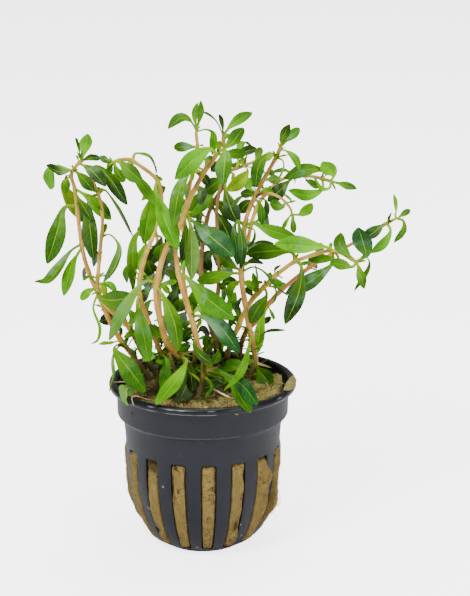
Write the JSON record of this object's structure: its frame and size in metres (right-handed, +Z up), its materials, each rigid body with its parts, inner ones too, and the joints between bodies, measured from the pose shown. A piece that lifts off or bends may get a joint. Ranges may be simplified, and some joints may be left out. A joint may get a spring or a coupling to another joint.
{
  "type": "potted water primrose",
  "caption": "Leafy aquatic stem plant grown above water, rooted in a rockwool plug in a small slotted net pot with a rolled rim.",
  "frame": {"origin": "centre of the pot's flat underside", "axes": "+Z up along the pot's axis, -Y towards the side that the picture shows, +X to that view's right"},
  "size_m": [0.1078, 0.0784, 0.1329],
  "materials": {
    "pot_plastic": "dark slate injection-moulded plastic, semi-matte, with a thin sheen on the rim",
    "rockwool": "tan gold fibrous mineral wool with dark cracks, dry and fully matte",
    "shoot": "living stems and leaves: mid green blades with a soft sheen, pale undersides and pinkish tan stems"
  },
  "bodies": {
    "root": {"net_pot": "pot_plastic", "rockwool": "rockwool", "shoot_far_left": "shoot", "shoot_left": "shoot", "shoot_left_arching": "shoot", "shoot_centre_front": "shoot", "shoot_centre_tall": "shoot", "shoot_right_centre": "shoot", "shoot_right_arching": "shoot", "shoot_far_right": "shoot", "shoot_centre_twig": "shoot", "shoot_top": "shoot", "shoot_right_upper": "shoot", "shoot_back_left": "shoot", "shoot_back_centre": "shoot"}
  },
  "joints": []
}
